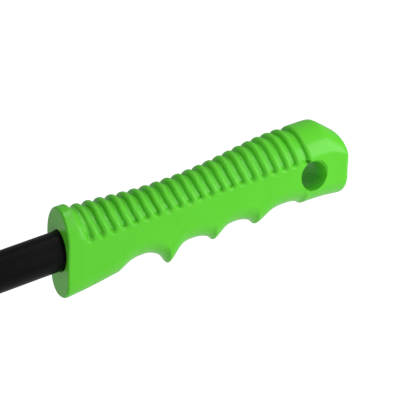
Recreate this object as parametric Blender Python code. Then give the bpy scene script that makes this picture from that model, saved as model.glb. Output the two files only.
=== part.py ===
"""Manual slide-over post driver: a heavy steel tube, capped and weighted at the top, with two bolted side
handles that carry moulded grips. It stands on its open mouth, +Z up, origin at the middle of the mouth.

Every handle piece is built in a handle frame and then placed: u runs outwards along the handle from the
body's surface, n is across it, and w is its upper side.
"""
import bmesh
import bpy
import math
from mathutils import Matrix, Vector

GAP = 0.0003                    # between pieces that touch

# Body
BODY_R = 0.0381                 # 3 inch tube
BODY_WALL = 0.005
BODY_LENGTH = 0.600
EDGE_BREAK = 0.001              # small chamfer on cut steel edges
CAP_R = 0.0440
CAP_THICK = 0.010
CAP_WELD_LEG = 0.005
PLUG_LENGTH = 0.060
ROSETTE_R = 0.005
ROSETTE_Z = BODY_LENGTH - PLUG_LENGTH / 2

# Handles
HANDLE_Z = 0.400                # where a handle's axis meets the body's surface
HANDLE_RISE = math.radians(12)
HANDLE_R = 0.009525             # 3/4 inch tube
HANDLE_WALL = 0.002
HANDLE_START = 0.004
SOCKET_R = 0.01335
SOCKET_LENGTH = 0.038
SOCKET_WELD_R = 0.0042
GUSSET_THICK = 0.005
GUSSET_DROP = 0.048             # how far down the body the gusset reaches
GUSSET_REACH = 0.031            # how far out under the socket
GUSSET_SNIP = 0.011             # corner cut off so that it clears the root weld
GUSSET_WELD_LEG = 0.0035

# Bolt through socket and handle tube
BOLT_U = 0.024
BOLT_R = 0.004
HEX_R = 0.0065 / math.cos(math.radians(30))
BOLT_HEAD = 0.0053
WASHER_R = 0.008
WASHER_THICK = 0.0016
NUT_HEIGHT = 0.0055
NUT_COLLAR = 0.0025             # the locking ring's rounded collar
BOLT_TAIL = 0.003

# Grip, measured from its mouth
GRIP_START = 0.080
GRIP_LENGTH = 0.1625
GRIP_HALF_WIDTH = 0.0134
GRIP_SHOULDER = 0.0052          # the rounded top is centred this far above the handle's axis
GRIP_SIDE_TAPER = 0.155         # narrowing below the shoulder, for the depth there
GRIP_BOTTOM_R = 0.0110
GRIP_BOTTOM_POWER = 1.8         # 2 would make the bottom half an ellipse
GRIP_END_FILLET = 0.0039
FLANGE_LENGTH = 0.0060
FLANGE_BLEND = 0.0112
FLANGE_SPREAD = 0.0006
FLANGE_RISE = 0.0020
FLANGE_FILLET = 0.0013
MOUTH_SLANT = 0.19              # the mouth's face leans outwards at the bottom
RIB_COUNT = 20
RIB_PITCH = 0.00605
FIRST_RIB = 0.0159
RIB_DEPTH = 0.0016
RIB_LEAN = -0.085               # the ribs lean towards the mouth above their feet
RIB_FOOT = 0.0036
LEAN_END = 0.136
LEAN_FADE = 0.006
CREST_SHARE = 0.42              # of a pitch that is rib, the rest is groove
WALL_SHARE = 0.16               # of a pitch that is a groove's wall
HANG_U = 0.1393
HANG_W = -0.0049
HANG_R = 0.0078
BORE_DEPTH = 0.128
VENT_R = 0.0015
END_PLUG_FLANGE = 0.002
END_PLUG_STEM = 0.012

# Height of the rib crests above the axis: a shoulder, the palm's waist, then a swell to the tail
CREST_SHOULDER = (0.010, 0.0190)
CREST_WAIST = (0.056, 0.0161)
CREST_TAIL = (0.128, 0.0212)
SWELL_EASE = 1.25
# The tail's top slopes down to the end, its rounding reaches down the sides, and its end face leans out
TAIL_SLOPE_START = 0.1492
TAIL_SLOPE = 0.86
TAIL_SLOPE_BLEND = 0.0012
TAIL_START = 0.146
TAIL_SHOULDER = -0.0013
TAIL_SLANT = 0.072
# Depth of the underside below the axis: the heel, the tips between fingers, and the finger hollows
HEEL_DEPTH = 0.0230
TIPS = [(0.0246, 0.0206), (0.0529, 0.0256), (0.0799, 0.0224), (0.1050, 0.0224), (0.1335, 0.0204)]
HOLLOWS = [(0.0410, 0.0163), (0.0689, 0.0176), (0.0944, 0.0172), (0.1238, 0.0173)]
HOLLOW_EASE = 1.7
HOLLOW_ARC = 1.8
TAIL_DEPTH = 0.0228

COLOURS = {                     # name: (colour, roughness, metallic)
    "powder_coat": ((0.012, 0.012, 0.013), 0.45, 0.0),
    "weld_coated": ((0.014, 0.014, 0.015), 0.40, 0.0),
    "bare_steel": ((0.32, 0.31, 0.30), 0.45, 1.0),
    "green_grip": ((0.115, 0.560, 0.040), 0.30, 0.0),
    "zinc": ((0.60, 0.61, 0.63), 0.32, 1.0),
    "black_plastic": ((0.010, 0.010, 0.010), 0.50, 0.0),
}


def material(name):
    mat = bpy.data.materials.get(name)
    if mat is None:
        colour, roughness, metallic = COLOURS[name]
        mat = bpy.data.materials.new(name)
        mat.use_nodes = True
        shader = mat.node_tree.nodes["Principled BSDF"]
        shader.inputs["Base Color"].default_value = (*colour, 1.0)
        shader.inputs["Roughness"].default_value = roughness
        shader.inputs["Metallic"].default_value = metallic
    return mat


def add_object(name, bm, mat_name, matrix=None, smooth_angle=30):
    """Turns a bmesh into a named object with its material, faces pointing out and round faces smooth."""
    bmesh.ops.recalc_face_normals(bm, faces=bm.faces)
    mesh = bpy.data.meshes.new(name)
    bm.to_mesh(mesh)
    bm.free()
    mesh.materials.append(material(mat_name))
    mesh.shade_smooth()
    mesh.set_sharp_from_angle(angle=math.radians(smooth_angle))
    obj = bpy.data.objects.new(name, mesh)
    bpy.context.scene.collection.objects.link(obj)
    if matrix is not None:
        obj.matrix_world = matrix
    return obj


def cut(obj, cutter):
    """Takes the cutter out of the object with an exact Boolean, and hides the cutter."""
    cutter.hide_render = True
    cutter.display_type = "WIRE"
    mod = obj.modifiers.new("cut_" + cutter.name, "BOOLEAN")
    mod.operation = "DIFFERENCE"
    mod.solver = "EXACT"
    mod.object = cutter


def loft(bm, rings, closed=False):
    """Skins a list of rings of equal length, and fills the two ends unless the loft closes on itself."""
    verts = [[bm.verts.new(p) for p in ring] for ring in rings]
    pairs = list(zip(verts, verts[1:]))
    if closed:
        pairs.append((verts[-1], verts[0]))
    for a, b in pairs:
        for i in range(len(a)):
            j = (i + 1) % len(a)
            bm.faces.new((a[i], a[j], b[j], b[i]))
    if not closed:
        bm.faces.new(verts[0])
        bm.faces.new(verts[-1])
    return bm


def turned(profile, segments, axis="Z", closed=False):
    """A solid of revolution from (radius, height) points; closed joins the last point to the first (a ring).
    A profile that starts and ends on the axis has radius 0 there."""
    bm = bmesh.new()
    rings = []
    for r, h in profile:
        if r == 0:
            rings.append([bm.verts.new((0, 0, h))])
        else:
            angles = [2 * math.pi * i / segments for i in range(segments)]
            rings.append([bm.verts.new((r * math.cos(a), r * math.sin(a), h)) for a in angles])
    pairs = list(zip(rings, rings[1:]))
    if closed:
        pairs.append((rings[-1], rings[0]))
    for low, high in pairs:
        for i in range(segments):
            j = (i + 1) % segments
            corners = [low[i % len(low)], low[j % len(low)], high[j % len(high)], high[i % len(high)]]
            bm.faces.new(list(dict.fromkeys(corners)))
    turn = {"Z": Matrix(), "X": Matrix.Rotation(math.pi / 2, 4, "Y"), "Y": Matrix.Rotation(-math.pi / 2, 4, "X")}
    bmesh.ops.transform(bm, matrix=turn[axis], verts=bm.verts)
    return bm


def cylinder(radius, start, end, segments, axis="Z"):
    """A plain solid cylinder between two heights on an axis."""
    return turned([(0, start), (radius, start), (radius, end), (0, end)], segments, axis)


def moved(bm, offset):
    bmesh.ops.translate(bm, vec=Vector(offset), verts=bm.verts)
    return bm


def prism(outline, low, high):
    """Extrudes a closed outline of (x, z) points along Y."""
    bm = bmesh.new()
    return loft(bm, [[(x, y, z) for x, z in outline] for y in (low, high)])


# ---------------------------------------------------------------- body

def build_body():
    inner = BODY_R - BODY_WALL
    e = EDGE_BREAK
    tube = add_object("body_tube", turned([
        (inner, e), (inner + e, 0), (BODY_R - e, 0), (BODY_R, e),
        (BODY_R, BODY_LENGTH), (inner, BODY_LENGTH)], 64, closed=True), "powder_coat")
    for k in range(4):
        spin = Matrix.Rotation(math.pi / 4 + k * math.pi / 2, 4, "Z")
        cutter = add_object(f"cut_rosette_{k}", cylinder(ROSETTE_R, inner - 0.004, BODY_R + 0.004, 16, "X"),
                            "bare_steel", Matrix.Translation((0, 0, ROSETTE_Z)) @ spin)
        cut(tube, cutter)


def build_cap():
    low = BODY_LENGTH + GAP
    high = low + CAP_THICK
    e = 0.0015
    add_object("top_cap", turned([
        (0, low), (CAP_R - EDGE_BREAK, low), (CAP_R, low + EDGE_BREAK), (CAP_R, high - e),
        (CAP_R - e, high), (0, high)], 64), "powder_coat")
    root = (BODY_R + GAP, BODY_LENGTH)
    bulge = CAP_WELD_LEG * 0.62
    add_object("cap_weld", turned([
        root, (root[0], root[1] - CAP_WELD_LEG), (root[0] + bulge, root[1] - bulge),
        (root[0] + CAP_WELD_LEG, root[1])], 64, closed=True), "weld_coated", smooth_angle=50)


def build_strike_plug():
    r = BODY_R - BODY_WALL - GAP
    top = BODY_LENGTH
    bottom = top - PLUG_LENGTH
    e = 0.003
    add_object("strike_plug", turned([
        (0, bottom), (r - e, bottom), (r, bottom + e), (r, top), (0, top)], 64), "bare_steel")
    weld_r = ROSETTE_R - GAP
    for k in range(4):
        spin = Matrix.Rotation(math.pi / 4 + k * math.pi / 2, 4, "Z")
        add_object(f"plug_weld_{k + 1}", turned([
            (0, r + GAP), (weld_r, r + GAP), (weld_r, BODY_R), (weld_r * 0.6, BODY_R + 0.0007),
            (0, BODY_R + 0.001)], 16, "X"), "weld_coated", Matrix.Translation((0, 0, ROSETTE_Z)) @ spin)


# ---------------------------------------------------------------- handles

def handle_frame(side):
    """Places the handle frame on the right (side 1) or left (side -1) of the body."""
    turn = Matrix.Rotation(0 if side > 0 else math.pi, 4, "Z")
    return turn @ Matrix.Translation((BODY_R, 0, HANDLE_Z)) @ Matrix.Rotation(-HANDLE_RISE, 4, "Y")


def body_cutter(name):
    """The body with its gap around it, to cope what is welded to it."""
    bm = cylinder(BODY_R + GAP, HANDLE_Z - 0.08, HANDLE_Z + 0.08, 96)
    return add_object(name, bm, "powder_coat")


def build_socket(tag, frame):
    """The short tube that is welded to the body and takes the handle."""
    bore = HANDLE_R + GAP
    e = EDGE_BREAK
    socket = add_object("handle_socket_" + tag, turned([
        (bore, -0.012), (SOCKET_R, -0.012), (SOCKET_R, SOCKET_LENGTH - e), (SOCKET_R - e, SOCKET_LENGTH),
        (bore + e / 2, SOCKET_LENGTH), (bore, SOCKET_LENGTH - e / 2)], 32, "X", closed=True),
        "powder_coat", frame)
    cut(socket, body_cutter("cut_body_socket_" + tag))
    cut(socket, bolt_hole(tag + "_socket", frame))


def bolt_hole(tag, frame):
    bm = moved(cylinder(BOLT_R + GAP, -0.02, 0.02, 20, "Y"), (BOLT_U, 0, 0))
    return add_object("cut_bolt_" + tag, bm, "zinc", frame)


def root_curve(radius, angle):
    """The point where a line of the given radius around the handle's axis meets the body, in the handle
    frame. The body's axis leans by the handle's rise in that frame."""
    n = radius * math.cos(angle)
    w = radius * math.sin(angle)
    # world x = BODY_R + u cos(rise) - w sin(rise), and x^2 + n^2 = BODY_R^2
    x = math.sqrt(BODY_R ** 2 - n ** 2)
    u = (x - BODY_R + w * math.sin(HANDLE_RISE)) / math.cos(HANDLE_RISE)
    return Vector((u, n, w))


def build_root_weld(tag, frame):
    """A fillet weld bead all round the socket's root."""
    segments = 32
    rings = []
    for i in range(segments):
        angle = 2 * math.pi * i / segments
        centre = root_curve(SOCKET_R, angle)
        radial = Vector((0, math.cos(angle), math.sin(angle)))
        ring = []
        for k in range(8):
            a = 2 * math.pi * k / 8
            out = radial * (math.cos(a) * SOCKET_WELD_R) + Vector((math.sin(a) * SOCKET_WELD_R, 0, 0))
            ring.append(centre + out)
        rings.append(ring)
    weld = add_object("socket_weld_" + tag, loft(bmesh.new(), rings, closed=True), "weld_coated", frame, 60)
    cut(weld, body_cutter("cut_body_weld_" + tag))
    core = add_object("cut_socket_weld_" + tag, cylinder(SOCKET_R + GAP, -0.03, 0.03, 32, "X"),
                      "powder_coat", frame)
    cut(weld, core)


def gusset_points():
    """Corners of the gusset in the plane through both axes: body side, then socket side, world (x, z) with
    x from the body's axis on the right."""
    lean = math.tan(HANDLE_RISE)
    x0 = BODY_R + GAP
    drop = (SOCKET_R + GAP) / math.cos(HANDLE_RISE)
    under = HANDLE_Z - drop
    foot_z = under - GUSSET_DROP
    tip_x = x0 + GUSSET_REACH
    return [
        (x0, under - GUSSET_SNIP), (x0, foot_z), (x0 + 0.004, foot_z),
        (tip_x, under + GUSSET_REACH * lean - 0.005), (tip_x, under + GUSSET_REACH * lean),
        (x0 + GUSSET_SNIP, under + GUSSET_SNIP * lean)]


def build_gusset(side, tag):
    """The triangular plate under the socket, with its beads on both faces."""
    turn = Matrix.Rotation(0 if side > 0 else math.pi, 4, "Z")
    points = gusset_points()
    half = GUSSET_THICK / 2
    add_object("socket_gusset_" + tag, prism(points, -half, half), "powder_coat", turn)
    inset = Vector((math.cos(HANDLE_RISE), 0, math.sin(HANDLE_RISE)))
    up = Vector((-math.sin(HANDLE_RISE), 0, math.cos(HANDLE_RISE)))
    top, foot = (Vector((x, 0, z)) for x, z in points[:2])
    tip, root = (Vector((x, 0, z)) for x, z in points[4:])
    for face, where in ((-side, "front"), (side, "back")):
        name = f"gusset_weld_{tag}_{where}_"
        body_bead = gusset_bead(face, top - Vector((0, 0, 0.001)), foot + Vector((0, 0, 0.002)),
                                Vector((-1, 0, 0)), BODY_R)
        add_object(name + "body", body_bead, "weld_coated", turn, 50)
        socket_bead = gusset_bead(face, root + inset * 0.003, tip - inset * 0.002, up, SOCKET_R)
        add_object(name + "socket", socket_bead, "weld_coated", turn, 50)


def gusset_bead(face, start, end, towards, radius):
    """One bead in the corner between the plate's face and the round steel that lies towards it."""
    near = GUSSET_THICK / 2 + GAP
    far = near + GUSSET_WELD_LEG
    section = [(near, 0), (far, 0), (near + GUSSET_WELD_LEG * 0.62, -GUSSET_WELD_LEG * 0.45),
               (near, -GUSSET_WELD_LEG)]
    along = (end - start).normalized()
    rings = []
    for point, scale in ((start, 0.35), (start + along * 0.0015, 1.0), (end - along * 0.0015, 1.0), (end, 0.35)):
        ring = []
        for across, depth in section:
            y = near + (across - near) * scale
            sink = radius - math.sqrt(radius ** 2 - y ** 2) if depth == 0 else depth * scale
            ring.append(point + Vector((0, y * face, 0)) + towards * sink)
        rings.append(ring)
    return loft(bmesh.new(), rings)


def build_handle_tube(tag, frame):
    inner = HANDLE_R - HANDLE_WALL
    end = GRIP_START + BORE_DEPTH - END_PLUG_FLANGE - 2 * GAP
    e = 0.0005
    tube = add_object("handle_tube_" + tag, turned([
        (inner, HANDLE_START), (HANDLE_R - e, HANDLE_START), (HANDLE_R, HANDLE_START + e),
        (HANDLE_R, end), (inner, end)], 32, "X", closed=True), "powder_coat", frame)
    cut(tube, bolt_hole(tag + "_tube", frame))
    stem = inner - GAP
    add_object("handle_end_plug_" + tag, turned([
        (0, end - END_PLUG_STEM), (stem - 0.001, end - END_PLUG_STEM), (stem, end - END_PLUG_STEM + 0.001),
        (stem, end + GAP), (HANDLE_R, end + GAP), (HANDLE_R, end + GAP + END_PLUG_FLANGE * 0.6),
        (HANDLE_R - 0.0008, end + GAP + END_PLUG_FLANGE), (0, end + GAP + END_PLUG_FLANGE)], 32, "X"),
        "black_plastic", frame)


def hexagon(radius, low, high, chamfer=0.0008):
    """A hexagonal prism along Y with chamfered corners at its outer end."""
    rings = []
    for y, r in ((low, radius), (high - chamfer, radius), (high, radius - chamfer * 1.4)):
        rings.append([(r * math.cos(math.pi * k / 3), y, r * math.sin(math.pi * k / 3)) for k in range(6)])
    return loft(bmesh.new(), rings)


def build_bolt(tag, frame, front):
    """Cross bolt with washers and a locking nut. front is the n direction that its head points to."""
    flip = Matrix.Rotation(0 if front > 0 else math.pi, 4, "X")
    place = frame @ Matrix.Translation((BOLT_U, 0, 0)) @ flip
    seat = SOCKET_R + GAP + WASHER_THICK + GAP
    bm = hexagon(HEX_R, seat, seat + BOLT_HEAD)
    bolt = add_object("handle_bolt_" + tag, bm, "zinc", place)
    tail = -(seat + NUT_HEIGHT + NUT_COLLAR + BOLT_TAIL)
    shank = add_object("shank_" + tag, turned([
        (0, tail), (BOLT_R - 0.0008, tail), (BOLT_R, tail + 0.0008), (BOLT_R, seat + 0.001),
        (0, seat + 0.001)], 20, "Y"), "zinc", place)
    join = bolt.modifiers.new("shank", "BOOLEAN")
    join.operation = "UNION"
    join.solver = "EXACT"
    join.object = shank
    shank.hide_render = True
    shank.display_type = "WIRE"

    hole = BOLT_R + GAP
    for where, low in (("head", SOCKET_R + GAP), ("nut", -(SOCKET_R + GAP + WASHER_THICK))):
        washer = turned([(hole, low), (WASHER_R, low), (WASHER_R, low + WASHER_THICK),
                         (hole, low + WASHER_THICK)], 24, "Y", closed=True)
        add_object(f"{where}_washer_{tag}", washer, "zinc", place)

    nut = add_object("lock_nut_" + tag, hexagon(HEX_R, seat, seat + NUT_HEIGHT), "zinc",
                     place @ Matrix.Rotation(math.pi, 4, "X"))
    top = seat + NUT_HEIGHT
    collar = add_object("collar_" + tag, turned([
        (0, top - 0.001), (HEX_R * 0.8, top - 0.001), (HEX_R * 0.8, top + NUT_COLLAR * 0.6),
        (HEX_R * 0.68, top + NUT_COLLAR), (0, top + NUT_COLLAR)], 20, "Y"), "zinc",
        place @ Matrix.Rotation(math.pi, 4, "X"))
    join = nut.modifiers.new("collar", "BOOLEAN")
    join.operation = "UNION"
    join.solver = "EXACT"
    join.object = collar
    collar.hide_render = True
    collar.display_type = "WIRE"
    cut(nut, add_object("cut_nut_" + tag, cylinder(hole, -0.04, 0.04, 20, "Y"), "zinc", place))


# ---------------------------------------------------------------- grip

def ease(t, power=1.0):
    """Goes smoothly from 0 to 1 as t does; a power above 1 starts it more gently."""
    t = min(1.0, max(0.0, t)) ** power
    return t * t * (3 - 2 * t)


def between(start, end, u, power=1.0):
    """Smooth value from one (u, value) point to another."""
    return start[1] + (end[1] - start[1]) * ease((u - start[0]) / (end[0] - start[0]), power)


def crest_line(u):
    """Height of the rib crests above the axis."""
    if u < CREST_WAIST[0]:
        rise = between(CREST_SHOULDER, CREST_WAIST, u)
    else:
        rise = between(CREST_WAIST, CREST_TAIL, u, SWELL_EASE)
    past = u - TAIL_SLOPE_START
    return rise - TAIL_SLOPE * 0.5 * (past + math.hypot(past, TAIL_SLOPE_BLEND))


def underside(u):
    """Depth of the grip below the axis: a straight heel, four finger hollows and a tail.

    Each hollow falls away gently behind one finger tip and climbs in an arc to the next.
    """
    if u <= TIPS[0][0]:
        return HEEL_DEPTH + (TIPS[0][1] - HEEL_DEPTH) * u / TIPS[0][0]
    for tip, hollow, next_tip in zip(TIPS, HOLLOWS, TIPS[1:]):
        if u <= hollow[0]:
            return between(hollow, tip, u, HOLLOW_EASE)
        if u <= next_tip[0]:
            t = (u - hollow[0]) / (next_tip[0] - hollow[0])
            return hollow[1] + (next_tip[1] - hollow[1]) * (1 - (1 - t ** HOLLOW_ARC) ** (1 / HOLLOW_ARC))
    rest = (u - TIPS[-1][0]) / (GRIP_LENGTH - TIPS[-1][0])
    return TIPS[-1][1] + (TAIL_DEPTH - TIPS[-1][1]) * rest ** 2


def rib_height(u):
    """0 on a rib's crest and in the plain stretches, 1 on a groove's floor."""
    phase = (u - FIRST_RIB) / RIB_PITCH
    if phase < -0.75 or phase > RIB_COUNT - 0.25:
        return 0.0
    off = abs(phase - round(phase))
    return min(1.0, max(0.0, (off - CREST_SHARE / 2) / WALL_SHARE))


def rib_lean(u):
    """How much the ribs lean at u; nothing at the flange and on the plain tail."""
    start = FIRST_RIB - RIB_PITCH / 2
    rise = (u - FLANGE_LENGTH) / (start - FLANGE_LENGTH)
    fall = (LEAN_END - u) / LEAN_FADE
    return RIB_LEAN * max(0.0, min(1.0, rise, fall))


def grip_stations():
    """Places along the grip where a ring is needed."""
    stations = [FLANGE_FILLET * (1 - math.cos(math.radians(a))) for a in (0, 40, 65, 90)]
    stations += [FLANGE_LENGTH, 0.0075, 0.0095, FLANGE_BLEND, FIRST_RIB - 0.4 * RIB_PITCH]
    for rib in range(RIB_COUNT):
        crest = FIRST_RIB + rib * RIB_PITCH
        stations += [crest + share * RIB_PITCH for share in (-0.37, -0.21, 0.21, 0.37)]
    last = stations[-1]
    stations += [last + 0.0016, last + 0.005, TAIL_SLOPE_START - TAIL_SLOPE_BLEND,
                 TAIL_SLOPE_START + TAIL_SLOPE_BLEND]
    stations += [tip[0] - back for tip in TIPS[1:] for back in (0.0, 0.0005)]
    straight = GRIP_LENGTH - GRIP_END_FILLET
    stations += [straight + GRIP_END_FILLET * math.sin(math.radians(a)) for a in (0, 25, 50, 70, 90)]
    spaced = []
    for u in sorted(stations):
        if not spaced or u - spaced[-1] > 0.0002:
            spaced.append(u)
    return spaced


def grip_ring(u):
    """One cross-section: rounded top, tapering sides, narrower rounded bottom."""
    flare = 1 - ease((u - FLANGE_LENGTH) / (FLANGE_BLEND - FLANGE_LENGTH))
    inset = 0.0
    if u < FLANGE_FILLET:
        inset = FLANGE_FILLET - math.sqrt(FLANGE_FILLET ** 2 - (FLANGE_FILLET - u) ** 2)
    rest = u - (GRIP_LENGTH - GRIP_END_FILLET)
    if rest > 0:
        inset = GRIP_END_FILLET - math.sqrt(max(0.0, GRIP_END_FILLET ** 2 - rest ** 2))
    crest = crest_line(u) + FLANGE_RISE * flare - inset
    half = GRIP_HALF_WIDTH + FLANGE_SPREAD * flare - inset
    depth = underside(u) - inset
    groove = RIB_DEPTH * rib_height(u)
    tail = max(0.0, (u - TAIL_START) / (GRIP_LENGTH - TAIL_START))
    shoulder = GRIP_SHOULDER + (TAIL_SHOULDER - GRIP_SHOULDER) * tail ** 2
    ring = []
    for i in range(11):
        a = math.pi * i / 10
        fade = min(1.0, math.sin(a) / 0.25)
        ring.append(((half - groove * fade) * math.cos(a),
                     shoulder + (crest - shoulder - groove * fade) * math.sin(a)))
    knee = GRIP_BOTTOM_R - depth
    foot = half - GRIP_SIDE_TAPER * (GRIP_SHOULDER - knee)
    power = 2 / GRIP_BOTTOM_POWER
    for i in range(9):
        a = math.pi * i / 8
        across = math.copysign(abs(math.cos(a)) ** power, -math.cos(a))
        ring.append((foot * across, knee - GRIP_BOTTOM_R * abs(math.sin(a)) ** power))
    slant = MOUTH_SLANT * max(0.0, 1 - u / FLANGE_BLEND) + TAIL_SLANT * tail
    return [(u + slant * w + rib_lean(u) * max(0.0, w - RIB_FOOT), n, w) for n, w in ring]


def build_grip(tag, frame):
    """The moulded grip: ribbed over the top, finger grooves below, a flange at its mouth and a hang hole."""
    place = frame @ Matrix.Translation((GRIP_START, 0, 0))
    grip = add_object("grip_" + tag, loft(bmesh.new(), [grip_ring(u) for u in grip_stations()]),
                      "green_grip", place, 35)
    bore = cylinder(HANDLE_R + GAP, -0.012, BORE_DEPTH, 32, "X")
    cut(grip, add_object("cut_bore_" + tag, bore, "green_grip", place))
    hang = moved(cylinder(HANG_R, -0.02, 0.02, 28, "Y"), (HANG_U, 0, HANG_W))
    cut(grip, add_object("cut_hang_" + tag, hang, "green_grip", place))
    vent = moved(cylinder(VENT_R, BORE_DEPTH - 0.001, HANG_U, 8, "X"), (0, 0, HANG_W + HANG_R * 0.55))
    cut(grip, add_object("cut_vent_" + tag, vent, "green_grip", place))


def main():
    for obj in list(bpy.data.objects):
        bpy.data.objects.remove(obj, do_unlink=True)
    build_body()
    build_cap()
    build_strike_plug()
    for side, tag in ((1, "right"), (-1, "left")):
        frame = handle_frame(side)
        build_socket(tag, frame)
        build_root_weld(tag, frame)
        build_gusset(side, tag)
        build_handle_tube(tag, frame)
        build_bolt(tag, frame, -side)
        build_grip(tag, frame)


main()
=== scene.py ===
"""The post driver's looks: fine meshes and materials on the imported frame, a pale floor, soft light and a camera.

Handle pieces are made in a handle frame: u runs outwards along the handle from the body's surface, n is across
it, to the back on the right handle and to the front on the left one, and w is its upper side. The grip's own u
starts at its mouth. All sizes are in metres.
"""
import math

import bmesh
import bpy
import numpy as np
from mathutils import Matrix, Vector


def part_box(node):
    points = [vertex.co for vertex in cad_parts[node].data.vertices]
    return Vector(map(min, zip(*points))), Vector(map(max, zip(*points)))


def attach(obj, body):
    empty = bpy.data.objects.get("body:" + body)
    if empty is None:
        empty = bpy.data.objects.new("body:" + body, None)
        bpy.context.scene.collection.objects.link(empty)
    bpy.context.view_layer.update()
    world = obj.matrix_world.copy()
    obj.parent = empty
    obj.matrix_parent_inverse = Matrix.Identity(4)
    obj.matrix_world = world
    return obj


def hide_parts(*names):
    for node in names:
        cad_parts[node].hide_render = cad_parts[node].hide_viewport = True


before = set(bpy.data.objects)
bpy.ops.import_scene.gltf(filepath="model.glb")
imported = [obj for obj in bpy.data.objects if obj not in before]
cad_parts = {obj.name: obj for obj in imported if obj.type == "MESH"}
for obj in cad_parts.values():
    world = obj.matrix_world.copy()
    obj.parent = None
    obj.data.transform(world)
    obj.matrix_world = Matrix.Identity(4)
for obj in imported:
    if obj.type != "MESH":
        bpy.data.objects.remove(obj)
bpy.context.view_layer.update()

# ---------------------------------------------------------------- sizes, from the frame

TAU = 2 * math.pi
MIDDLE = 0.0001                                     # radius of a turned solid's innermost ring
TUBE_LOW, TUBE_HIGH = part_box("body_tube")
BODY_R = TUBE_HIGH.x
BODY_LENGTH = TUBE_HIGH.z
BODY_WALL = 0.005
BODY_EDGES = (0.0008, 0.0012, 0.0006)               # rounding: inside below, outside below, both above
CAP_LOW, CAP_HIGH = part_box("top_cap")
CAP_R = CAP_HIGH.x
CAP_EDGES = (0.0010, 0.0022)                        # rounding below and above
CAP_BEAD = 0.0052
BILLET_EDGE = 0.0012
RIPPLE_DEPTH = 0.10                                 # depth of a weld's ripples, as a share of its leg
ROSETTE_R = 0.0052
ROSETTE_RISE = 0.0011
ROSETTE_ROOT = 0.0040                               # depth below the body's surface
HANDLE_Z = 0.400
HANDLE_RISE = math.radians(12)
HANDLE_R = (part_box("handle_tube_right")[1].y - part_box("handle_tube_right")[0].y) / 2
HANDLE_WALL = 0.002
HANDLE_ROOT = 0.004                                 # the tube starts this far out from the body
SOCKET_R = (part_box("handle_socket_right")[1].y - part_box("handle_socket_right")[0].y) / 2
SOCKET_LENGTH = 0.038
SOCKET_ROOT = -0.0035
SOCKET_BEAD = 0.0044
BOLT_U = 0.024
BOLT_R = 0.004
HEX_FLAT = 0.0065                                   # half of the hexagon's width across flats
BOLT_HEAD = 0.0053
THREAD_PITCH = 0.00125
THREAD_DEPTH = 0.00045
NUT_HEIGHT = 0.0055
NUT_COLLAR = 0.0025
BOLT_TAIL = 0.003                                   # how far the thread stands out of the nut
WASHER_R = 0.008
WASHER_THICK = 0.0016
GAP = 0.0003                                        # between parts
SEAT = SOCKET_R + GAP + WASHER_THICK + GAP          # from the handle's axis to the bolt's head
GUSSET_REACH = 0.031
GUSSET_DROP = 0.048
GUSSET_SNIP = 0.011
GUSSET_THICK = 0.005
GUSSET_FOOT = 0.004                                 # width of its lower end
GUSSET_NOSE = 0.005                                 # height of its outer end
GUSSET_BEAD = 0.0035
GUSSET_RIPPLE = 0.0019
GRIP_START = 0.080
TURN_STEPS = 72                                     # points round a bolt or nut, a multiple of six
SIDES = {"right": 0.0, "left": math.pi}

# Grip
GRIP_LENGTH = 0.1619
MOUTH_WIDTH = (0.008, 0.0134)                       # half-widths along the grip
WAIST_WIDTH = (0.080, 0.0122)
WAIST_END = 0.088
TAIL_WIDTH = (0.136, 0.0145)
WAIST_POWER = 1.78                                  # the top is more pointed at the waist than an ellipse, 2
SHOULDER = 0.0052
BOTTOM_R = 0.0110
SIDE_TAPER = 0.155                                  # narrowing below the shoulder, for the depth there
BOTTOM_POWER = 1.8
MOUTH_BOTTOM_POWER = 2.3                            # the bottom is squarer at the mouth
END_FILLET = 0.0039
FLANGE_LENGTH = 0.0060
FLANGE_BLEND = 0.0125
FLANGE_SPREAD = 0.0003
FLANGE_RISE = 0.0017
FLANGE_FILLET = 0.0011
MOUTH_SLANT = 0.19
RIB_LEAN = -0.085                                   # the ribs' tops lean towards the mouth
RIB_FOOT = 0.0036                                   # height where the lean starts
RIB_BOW = 0.0008                                    # they also bow towards it between side and top
RIB_PITCH = 0.00605
FIRST_GROOVE = 0.0129
GROOVES = 21
GROOVE_DEPTH = 0.0022
GROOVE_END = 0.0030                                 # height where a groove runs out on the side
GROOVE_FLOOR = 0.0011                               # half of a groove's flat floor
GROOVE_EDGE = 0.0028                                # from a groove's middle to a rib's crest
GROOVE_ROUND = 0.0020                               # radius of a groove's end
FIRST_GROOVE_RAMP = (0.0006, 0.0030)                # wider towards the flange: at its end, over the top
FIRST_GROOVE_SHALLOW = 0.55                         # share of its depth that is missing over the top
LAST_GROOVE_EXTRA = 0.0014                          # wider towards the tail
HANG_U = 0.1387
HANG_W = -0.0049
HANG_R = 0.0078
HANG_FILLET = 0.0007
VENT = (-0.0024, 0.0085)                            # a nick in the hang hole's rim, from the hole's middle
VENT_R = 0.0014
VENT_FLOOR = 0.007                                  # how far from the grip's middle the nick stops
BORE_R = 0.0098
BORE_DEPTH = 0.128
CREST_SHOULDER = (0.010, 0.0190)
CREST_WAIST = (0.056, 0.0161)
CREST_TAIL = (0.128, 0.0212)
SWELL_EASE = 1.25
TAIL_SLOPE_START = 0.1492
TAIL_SLOPE = 0.86
TAIL_SLOPE_BLEND = 0.0012
TAIL_START = 0.146                                  # from here the rounded top reaches further down
TAIL_SHOULDER = -0.0013
TAIL_SLANT = 0.072
HEEL_DEPTH = 0.0230
TIPS = [(0.0246, 0.0206), (0.0529, 0.0256), (0.0799, 0.0224), (0.1050, 0.0224), (0.1335, 0.0204)]
HOLLOWS = [(0.0410, 0.0163), (0.0689, 0.0176), (0.0944, 0.0172), (0.1238, 0.0173)]
HOLLOW_EASE = 1.7
HOLLOW_ARC = 1.8
NOSE_BLUR = 0.00025
TAIL_DEPTH = 0.0228

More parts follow.
